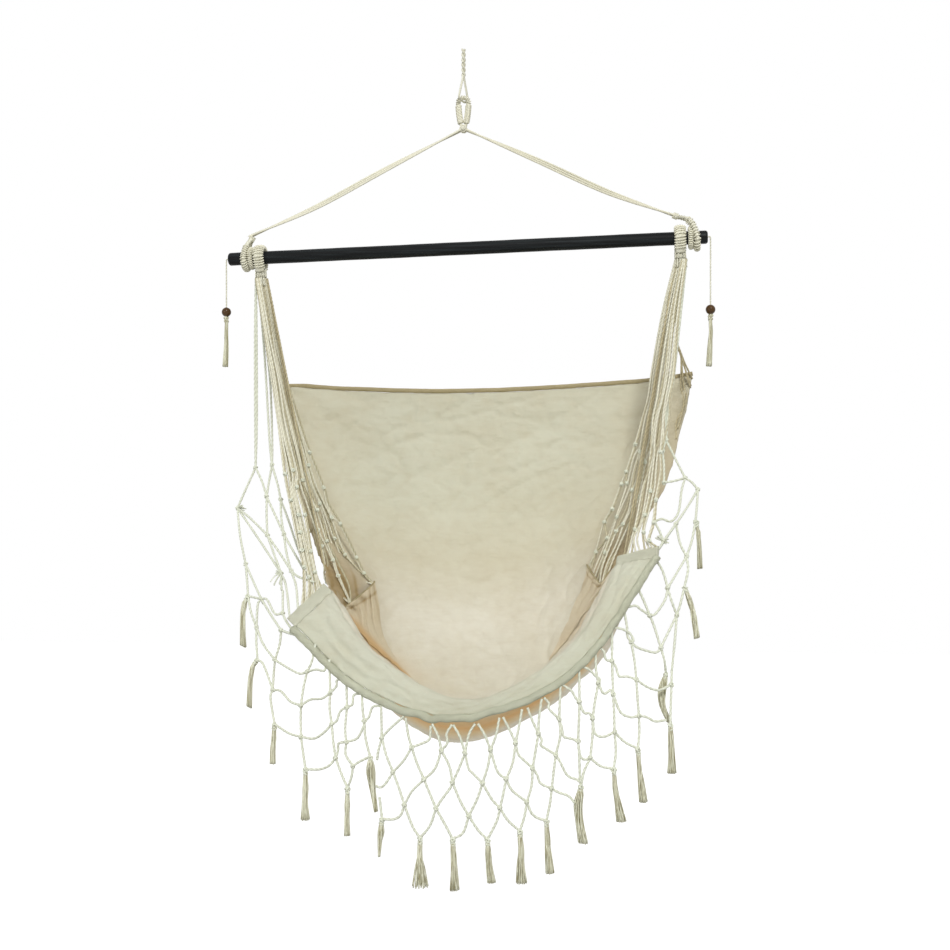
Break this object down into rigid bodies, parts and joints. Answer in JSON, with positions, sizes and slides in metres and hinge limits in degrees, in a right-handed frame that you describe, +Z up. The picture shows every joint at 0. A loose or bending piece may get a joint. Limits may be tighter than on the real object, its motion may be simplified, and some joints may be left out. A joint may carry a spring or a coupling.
{
  "type": "hammock chair",
  "caption": "Hanging canvas hammock chair on a dark round spreader bar, with served cord loops, cord fans, a knotted fringe net, tassels and beaded pendants.",
  "frame": {"origin": "the cut top of the hanging cord, where a hook or ceiling cord takes it", "axes": "+X to the right along the spreader bar, +Y to the back of the seat, +Z up"},
  "size_m": [1.0366, 0.6531, 1.6457],
  "materials": {
    "cotton_cord": "matt twisted off-white cotton cord",
    "tassel_cotton": "matt loose beige cotton",
    "canvas": "matt plain-woven natural canvas",
    "hem": "matt folded tan canvas",
    "black_wood": "black stain under satin lacquer",
    "bead_wood": "dark brown, glossy"
  },
  "bodies": {
    "cord_top": {"hanging_cord_top": "cotton_cord"},
    "cord": {"hanging_cord_bight": "cotton_cord"},
    "eye": {"eye_core": "cotton_cord", "eye_serving": "cotton_cord"},
    "sling": {"left_hitch": "cotton_cord", "left_hitch_serving": "cotton_cord", "left_sling_cord_1": "cotton_cord", "left_sling_cord_2": "cotton_cord", "left_sling_cord_3": "cotton_cord", "right_hitch": "cotton_cord", "right_hitch_serving": "cotton_cord", "right_sling_cord_1": "cotton_cord", "right_sling_cord_2": "cotton_cord", "right_sling_cord_3": "cotton_cord", "spreader_bar": "black_wood"},
    "seat": {"back_hem": "hem", "fringe_net": "cotton_cord", "front_casing": "canvas", "left_band_sleeve": "canvas", "left_bar_loop": "cotton_cord", "left_bar_loop_serving": "cotton_cord", "left_side_cords": "cotton_cord", "right_band_sleeve": "canvas", "right_bar_loop": "cotton_cord", "right_bar_loop_serving": "cotton_cord", "right_side_cords": "cotton_cord", "seat_panel": "canvas", "tassel_01": "tassel_cotton", "tassel_02": "tassel_cotton", "tassel_03": "tassel_cotton", "tassel_04": "tassel_cotton", "tassel_05": "tassel_cotton", "tassel_06": "tassel_cotton", "tassel_07": "tassel_cotton", "tassel_08": "tassel_cotton", "tassel_09": "tassel_cotton", "tassel_10": "tassel_cotton", "tassel_11": "tassel_cotton", "tassel_12": "tassel_cotton", "tassel_13": "tassel_cotton", "tassel_14": "tassel_cotton", "tassel_15": "tassel_cotton", "tassel_16": "tassel_cotton", "tassel_17": "tassel_cotton", "tassel_18": "tassel_cotton", "tassel_19": "tassel_cotton"},
    "left_pendant": {"left_pendant_bead": "bead_wood", "left_pendant_cord": "cotton_cord", "left_pendant_tassel": "tassel_cotton"},
    "right_pendant": {"right_pendant_bead": "bead_wood", "right_pendant_cord": "cotton_cord", "right_pendant_tassel": "tassel_cotton"}
  },
  "joints": [
    {"name": "cord_twist", "type": "hinge", "parent": "cord_top", "child": "cord", "pos_m": [0, 0, -0.028], "axis": [0, 0, 1], "range_deg": [-180, 180]},
    {"name": "eye_swing", "type": "hinge", "parent": "cord", "child": "eye", "pos_m": [0, 0, -0.1006], "axis": [1, 0, 0], "range_deg": [-25, 25]},
    {"name": "sling_tilt", "type": "hinge", "parent": "eye", "child": "sling", "pos_m": [0, 0, -0.166], "axis": [0, 1, 0], "range_deg": [-10, 10]},
    {"name": "seat_rock", "type": "hinge", "parent": "sling", "child": "seat", "pos_m": [0, 0, -0.415], "axis": [0.9996, 0, 0.0272], "range_deg": [-25, 25]},
    {"name": "left_pendant_swing", "type": "hinge", "parent": "sling", "child": "left_pendant", "pos_m": [-0.5028, 0, -0.42868], "axis": [0.9996, 0, 0.0272], "range_deg": [-60, 60]},
    {"name": "right_pendant_swing", "type": "hinge", "parent": "sling", "child": "right_pendant", "pos_m": [0.5028, 0, -0.40132], "axis": [0.9996, 0, 0.0272], "range_deg": [-60, 60]}
  ]
}
